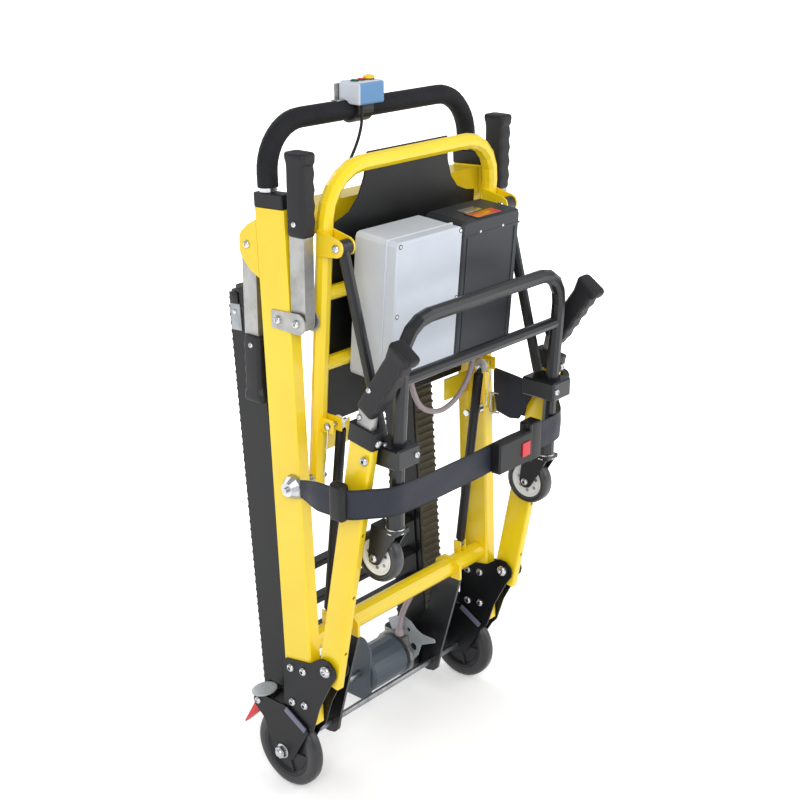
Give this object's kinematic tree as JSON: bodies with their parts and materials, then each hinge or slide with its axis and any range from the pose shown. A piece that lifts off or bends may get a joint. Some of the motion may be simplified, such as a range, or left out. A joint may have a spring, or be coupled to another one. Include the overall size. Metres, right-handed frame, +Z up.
{
  "type": "folded stair climbing chair",
  "caption": "Folded stair climbing chair with a powered rubber track unit, yellow seat loop carrying a control case and battery, folding front legs, castor frame and lap belt.",
  "frame": {"origin": "on the floor below the centre of the bounding box", "axes": "+Z up, -Y towards the castors and cases (front), +Y towards the tracks, +X towards the object's right seen from the front camera side"},
  "size_m": [0.585, 0.4592, 1.2705],
  "materials": {
    "yellow_paint": "satin",
    "black_paint": "satin",
    "charcoal_tube": "satin",
    "slate_motor": "satin",
    "grey_metal": "satin",
    "steel": "satin",
    "black_plastic": "matte",
    "charcoal_plastic": "matte",
    "grip_plastic": "matte",
    "foam": "matte",
    "white_plastic": "matte",
    "blue_plastic": "matte",
    "red_plastic": "gloss",
    "green_plastic": "gloss",
    "amber_plastic": "gloss",
    "track_rubber": "matte",
    "tyre_rubber": "matte",
    "webbing": "matte",
    "conduit_plastic": "matte"
  },
  "bodies": {
    "back_frame": {"left_rail": "yellow_paint", "right_rail": "yellow_paint", "left_rail_cap": "black_plastic", "right_rail_cap": "black_plastic", "upper_cross_panel": "yellow_paint", "lower_cross_frame": "yellow_paint", "left_side_plates": "black_paint", "right_side_plates": "black_paint", "left_wheel_fork": "black_paint", "right_wheel_fork": "black_paint", "wheel_axle": "steel", "left_seat_pivot": "steel", "right_seat_pivot": "steel", "left_grip_bracket": "grey_metal", "right_grip_bracket": "grey_metal", "track_motor": "slate_motor", "motor_gearbox": "charcoal_tube", "motor_conduit": "conduit_plastic"},
    "left_rear_wheel": {"left_rear_wheel": "tyre_rubber"},
    "right_rear_wheel": {"right_rear_wheel": "tyre_rubber"},
    "brake_pedal": {"brake_pedal": "grey_metal"},
    "track_unit": {"left_track_frame": "charcoal_tube", "right_track_frame": "charcoal_tube", "track_cross_frame": "black_paint", "left_track_belt": "track_rubber", "right_track_belt": "track_rubber"},
    "drive_shaft": {"drive_shaft": "steel"},
    "left_idler_pulley": {"left_idler_pulley": "charcoal_plastic"},
    "right_idler_pulley": {"right_idler_pulley": "charcoal_plastic"},
    "push_handle": {"push_handle_tube": "charcoal_tube", "handle_foam_grip": "foam", "control_box": "blue_plastic", "control_cable": "black_plastic"},
    "green_button": {"green_button": "green_plastic"},
    "red_button": {"red_button": "red_plastic"},
    "stop_button": {"stop_button": "amber_plastic"},
    "left_upper_grip": {"left_upper_grip": "grip_plastic"},
    "right_upper_grip": {"right_upper_grip": "grip_plastic"},
    "left_rear_grip": {"left_rear_grip": "grip_plastic"},
    "right_rear_grip": {"right_rear_grip": "grip_plastic"},
    "seat": {"seat_loop": "yellow_paint", "seat_panel": "black_plastic", "control_enclosure": "white_plastic", "enclosure_lid": "white_plastic", "battery_pack": "charcoal_plastic", "battery_lead": "conduit_plastic"},
    "left_strut": {"left_strut": "charcoal_tube"},
    "right_strut": {"right_strut": "charcoal_tube"},
    "front_legs": {"left_front_leg": "yellow_paint", "right_front_leg": "yellow_paint"},
    "left_lower_grip": {"left_lower_grip": "grip_plastic"},
    "right_lower_grip": {"right_lower_grip": "grip_plastic"},
    "castor_frame": {"castor_frame": "charcoal_tube", "lap_belt": "webbing", "belt_buckle": "charcoal_plastic"},
    "buckle_button": {"buckle_button": "red_plastic"},
    "left_castor_fork": {"left_castor_fork": "charcoal_tube"},
    "right_castor_fork": {"right_castor_fork": "charcoal_tube"},
    "left_castor_wheel": {"left_castor_wheel": "tyre_rubber"},
    "right_castor_wheel": {"right_castor_wheel": "tyre_rubber"}
  },
  "joints": [
    {"name": "left_wheel_spin", "type": "hinge", "parent": "back_frame", "child": "left_rear_wheel", "pos_m": [-0.253, 0.066, 0.075], "axis": [1, 0, 0], "continuous": true},
    {"name": "right_wheel_spin", "type": "hinge", "parent": "back_frame", "child": "right_rear_wheel", "pos_m": [0.253, 0.066, 0.075], "axis": [1, 0, 0], "continuous": true},
    {"name": "brake_pedal_press", "type": "hinge", "parent": "back_frame", "child": "brake_pedal", "pos_m": [-0.253, 0.128, 0.157], "axis": [-1, 0, 0], "range_deg": [0, 15]},
    {"name": "track_swing", "type": "hinge", "parent": "back_frame", "child": "track_unit", "pos_m": [0, 0.126, 0.09], "axis": [-1, 0, 0], "range_deg": [0, 35]},
    {"name": "drive_spin", "type": "hinge", "parent": "track_unit", "child": "drive_shaft", "pos_m": [0, 0.126, 0.09], "axis": [1, 0, 0], "continuous": true},
    {"name": "left_idler_spin", "type": "hinge", "parent": "track_unit", "child": "left_idler_pulley", "pos_m": [-0.19, 0.18395, 0.88489], "axis": [1, 0, 0], "continuous": true},
    {"name": "right_idler_spin", "type": "hinge", "parent": "track_unit", "child": "right_idler_pulley", "pos_m": [0.19, 0.18395, 0.88489], "axis": [1, 0, 0], "continuous": true},
    {"name": "push_handle_slide", "type": "slide", "parent": "back_frame", "child": "push_handle", "axis": [0, 0.0456, 0.999], "range_m": [0, 0.25]},
    {"name": "green_button_press", "type": "slide", "parent": "push_handle", "child": "green_button", "axis": [0, 0, -1], "range_m": [0, 0.002], "stiffness_N_per_m": 600},
    {"name": "red_button_press", "type": "slide", "parent": "push_handle", "child": "red_button", "axis": [0, 0, -1], "range_m": [0, 0.002], "stiffness_N_per_m": 600},
    {"name": "stop_button_press", "type": "slide", "parent": "push_handle", "child": "stop_button", "axis": [0, 0, -1], "range_m": [0, 0.002], "stiffness_N_per_m": 600},
    {"name": "left_upper_grip_fold", "type": "hinge", "parent": "back_frame", "child": "left_upper_grip", "pos_m": [-0.253, 0.006, 0.905], "axis": [1, 0, 0], "range_deg": [0, 70]},
    {"name": "left_rear_grip_fold", "type": "hinge", "parent": "back_frame", "child": "left_rear_grip", "pos_m": [-0.253, 0.119, 1.018], "axis": [1, 0, 0], "range_deg": [0, 90]},
    {"name": "right_upper_grip_fold", "type": "hinge", "parent": "back_frame", "child": "right_upper_grip", "pos_m": [0.253, 0.006, 0.905], "axis": [1, 0, 0], "range_deg": [0, 70]},
    {"name": "right_rear_grip_fold", "type": "hinge", "parent": "back_frame", "child": "right_rear_grip", "pos_m": [0.253, 0.119, 1.018], "axis": [1, 0, 0], "range_deg": [0, 90]},
    {"name": "seat_fold", "type": "hinge", "parent": "back_frame", "child": "seat", "pos_m": [0, 0.022, 0.615], "axis": [1, 0, 0], "range_deg": [0, 81]},
    {"name": "left_strut_pivot", "type": "hinge", "parent": "seat", "child": "left_strut", "pos_m": [-0.214, -0.047, 1.03], "axis": [1, 0, 0], "range_deg": [-79, 1]},
    {"name": "right_strut_pivot", "type": "hinge", "parent": "seat", "child": "right_strut", "pos_m": [0.214, -0.047, 1.03], "axis": [1, 0, 0], "range_deg": [-79, 1]},
    {"name": "front_legs_fold", "type": "hinge", "parent": "back_frame", "child": "front_legs", "pos_m": [0, -0.045, 0.284], "axis": [1, 0, 0], "range_deg": [-1, 79]},
    {"name": "left_lower_grip_slide", "type": "slide", "parent": "front_legs", "child": "left_lower_grip", "axis": [0, -0.1771, 0.9842], "range_m": [0, 0.18]},
    {"name": "right_lower_grip_slide", "type": "slide", "parent": "front_legs", "child": "right_lower_grip", "axis": [0, -0.1771, 0.9842], "range_m": [0, 0.18]},
    {"name": "castor_frame_pivot", "type": "hinge", "parent": "front_legs", "child": "castor_frame", "pos_m": [0, -0.1364, 0.70446], "axis": [1, 0, 0], "range_deg": [-79, 1]},
    {"name": "buckle_button_press", "type": "slide", "parent": "castor_frame", "child": "buckle_button", "axis": [0, 1, 0], "range_m": [0, 0.002], "stiffness_N_per_m": 600},
    {"name": "left_castor_swivel", "type": "hinge", "parent": "castor_frame", "child": "left_castor_fork", "pos_m": [-0.212, -0.155, 0.586], "axis": [0, 0, -1], "range_deg": [-5, 265]},
    {"name": "right_castor_swivel", "type": "hinge", "parent": "castor_frame", "child": "right_castor_fork", "pos_m": [0.212, -0.155, 0.586], "axis": [0, 0, 1], "range_deg": [-5, 265]},
    {"name": "left_castor_spin", "type": "hinge", "parent": "left_castor_fork", "child": "left_castor_wheel", "pos_m": [-0.212, -0.121, 0.513], "axis": [1, 0, 0], "continuous": true},
    {"name": "right_castor_spin", "type": "hinge", "parent": "right_castor_fork", "child": "right_castor_wheel", "pos_m": [0.212, -0.121, 0.513], "axis": [1, 0, 0], "continuous": true}
  ],
  "couplings": [
    {"joint": "left_idler_spin", "follows": "drive_spin", "ratio": 1},
    {"joint": "right_idler_spin", "follows": "drive_spin", "ratio": 1},
    {"joint": "front_legs_fold", "follows": "seat_fold", "ratio": 0.958},
    {"joint": "castor_frame_pivot", "follows": "seat_fold", "ratio": -0.958},
    {"joint": "left_strut_pivot", "follows": "seat_fold", "ratio": -0.965},
    {"joint": "right_strut_pivot", "follows": "seat_fold", "ratio": -0.965}
  ]
}
